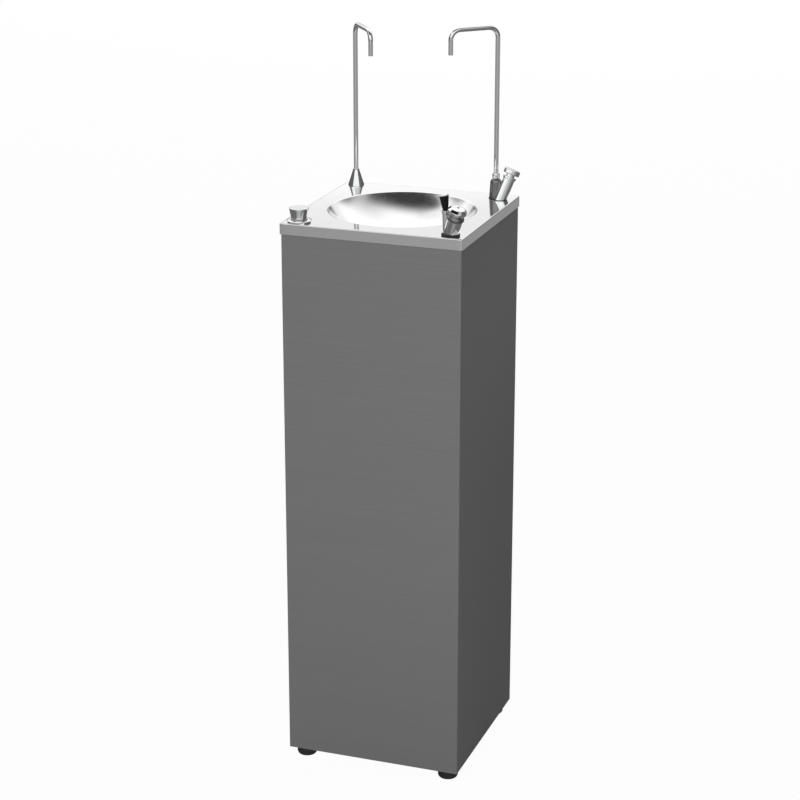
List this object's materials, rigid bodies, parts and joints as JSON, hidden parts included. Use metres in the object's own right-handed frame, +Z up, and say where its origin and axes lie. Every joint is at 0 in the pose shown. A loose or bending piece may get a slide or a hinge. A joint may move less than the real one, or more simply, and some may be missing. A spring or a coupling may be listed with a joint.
{
  "type": "point-of-use water cooler",
  "caption": "Square pedestal water cooler with a stainless bowl top, swivelling glass spouts, a push knob, a push tap and a drinking bubbler with a mouth guard.",
  "frame": {"origin": "on the floor under the middle of the cabinet", "axes": "+Z up; the front faces -Y; +X to the right seen from the front"},
  "size_m": [0.3212, 0.3188, 1.262],
  "materials": {
    "cabinet_steel": "satin",
    "zinc_steel": "satin",
    "polished_steel": "polished",
    "chrome_plate": "polished",
    "black_plastic": "satin",
    "black_rubber": "matte",
    "black_enamel": "satin",
    "brass_body": "satin",
    "copper_tube": "satin",
    "fin_aluminium": "satin",
    "foam": "matte",
    "water_tube": "satin"
  },
  "bodies": {
    "cabinet": {"base_tray": "zinc_steel", "cabinet_shell": "cabinet_steel", "rear_panel": "cabinet_steel", "rear_panel_screws": "zinc_steel", "worktop": "polished_steel", "basin": "polished_steel", "tank_shelf": "zinc_steel", "foot_nuts": "zinc_steel", "basin_strainer": "polished_steel", "waste_body": "chrome_plate", "waste_nut": "black_plastic", "drain_hose": "black_rubber", "drain_outlet": "black_plastic", "filler_base": "chrome_plate", "valve_body": "brass_body", "valve_rose": "chrome_plate", "push_knob_spring": "zinc_steel", "tap_body": "chrome_plate", "tap_collar": "chrome_plate", "tap_spring": "zinc_steel", "bubbler_ring": "chrome_plate", "bubbler_body": "chrome_plate", "bubbler_collar": "chrome_plate", "bubbler_spring": "zinc_steel", "bubbler_nozzle": "chrome_plate", "bubbler_hood": "chrome_plate", "deck_gaskets": "black_rubber", "deck_nuts": "zinc_steel", "compressor": "black_enamel", "compressor_grommets": "black_rubber", "compressor_bolts": "zinc_steel", "relay_cover": "black_plastic", "condenser_fins": "fin_aluminium", "condenser_tube": "copper_tube", "fan_shroud": "black_plastic", "fan_motor": "zinc_steel", "filter_drier": "copper_tube", "capillary": "copper_tube", "discharge_line": "copper_tube", "suction_line": "copper_tube", "evaporator_coil": "copper_tube", "water_tank": "polished_steel", "insulation_front": "foam", "insulation_rear": "foam", "thermostat": "zinc_steel", "water_inlet": "brass_body", "water_manifold": "water_tube", "water_tubes": "water_tube", "power_inlet": "black_plastic"},
    "foot_fl": {"foot_front_left": "black_plastic"},
    "foot_fr": {"foot_front_right": "black_plastic"},
    "foot_rl": {"foot_rear_left": "black_plastic"},
    "foot_rr": {"foot_rear_right": "black_plastic"},
    "filler_swivel": {"filler_spout": "chrome_plate"},
    "tap_swivel": {"tap_spout": "chrome_plate"},
    "knob": {"push_knob": "chrome_plate"},
    "tap_push": {"tap_button": "chrome_plate"},
    "bubbler_push": {"bubbler_button": "chrome_plate"},
    "fan": {"fan_blade": "black_plastic"},
    "stat_dial": {"thermostat_knob": "black_plastic"}
  },
  "joints": [
    {"name": "foot_fl_level", "type": "slide", "parent": "cabinet", "child": "foot_fl", "axis": [0, 0, -1], "range_m": [0, 0.01]},
    {"name": "foot_fr_level", "type": "slide", "parent": "cabinet", "child": "foot_fr", "axis": [0, 0, -1], "range_m": [0, 0.01]},
    {"name": "foot_rl_level", "type": "slide", "parent": "cabinet", "child": "foot_rl", "axis": [0, 0, -1], "range_m": [0, 0.01]},
    {"name": "foot_rr_level", "type": "slide", "parent": "cabinet", "child": "foot_rr", "axis": [0, 0, -1], "range_m": [0, 0.01]},
    {"name": "filler_swivel", "type": "hinge", "parent": "cabinet", "child": "filler_swivel", "pos_m": [-0.133, 0.135, 0.987], "axis": [0, 0, 1], "range_deg": [-90, 90]},
    {"name": "tap_swivel", "type": "hinge", "parent": "cabinet", "child": "tap_swivel", "pos_m": [0.124, 0.125, 0.997], "axis": [0, 0, 1], "range_deg": [-90, 90]},
    {"name": "knob_press", "type": "slide", "parent": "cabinet", "child": "knob", "axis": [0, 0, -1], "range_m": [0, 0.0035], "stiffness_N_per_m": 800, "springref_m": -0.004, "deforming": ["push_knob_spring"]},
    {"name": "tap_press", "type": "slide", "parent": "cabinet", "child": "tap_push", "axis": [-0.3082, -0.2775, -0.91], "range_m": [0, 0.004], "stiffness_N_per_m": 800, "springref_m": -0.004, "deforming": ["tap_spring"]},
    {"name": "bubbler_press", "type": "slide", "parent": "cabinet", "child": "bubbler_push", "axis": [-0.2947, 0.1567, -0.9426], "range_m": [0, 0.004], "stiffness_N_per_m": 800, "springref_m": -0.004, "deforming": ["bubbler_spring"]},
    {"name": "fan_spin", "type": "hinge", "parent": "cabinet", "child": "fan", "pos_m": [0, 0.058, 0.156], "axis": [0, 1, 0], "continuous": true},
    {"name": "stat_turn", "type": "hinge", "parent": "cabinet", "child": "stat_dial", "pos_m": [0.084, 0.1314, 0.6772], "axis": [0, 1, 0], "range_deg": [0, 270]}
  ]
}
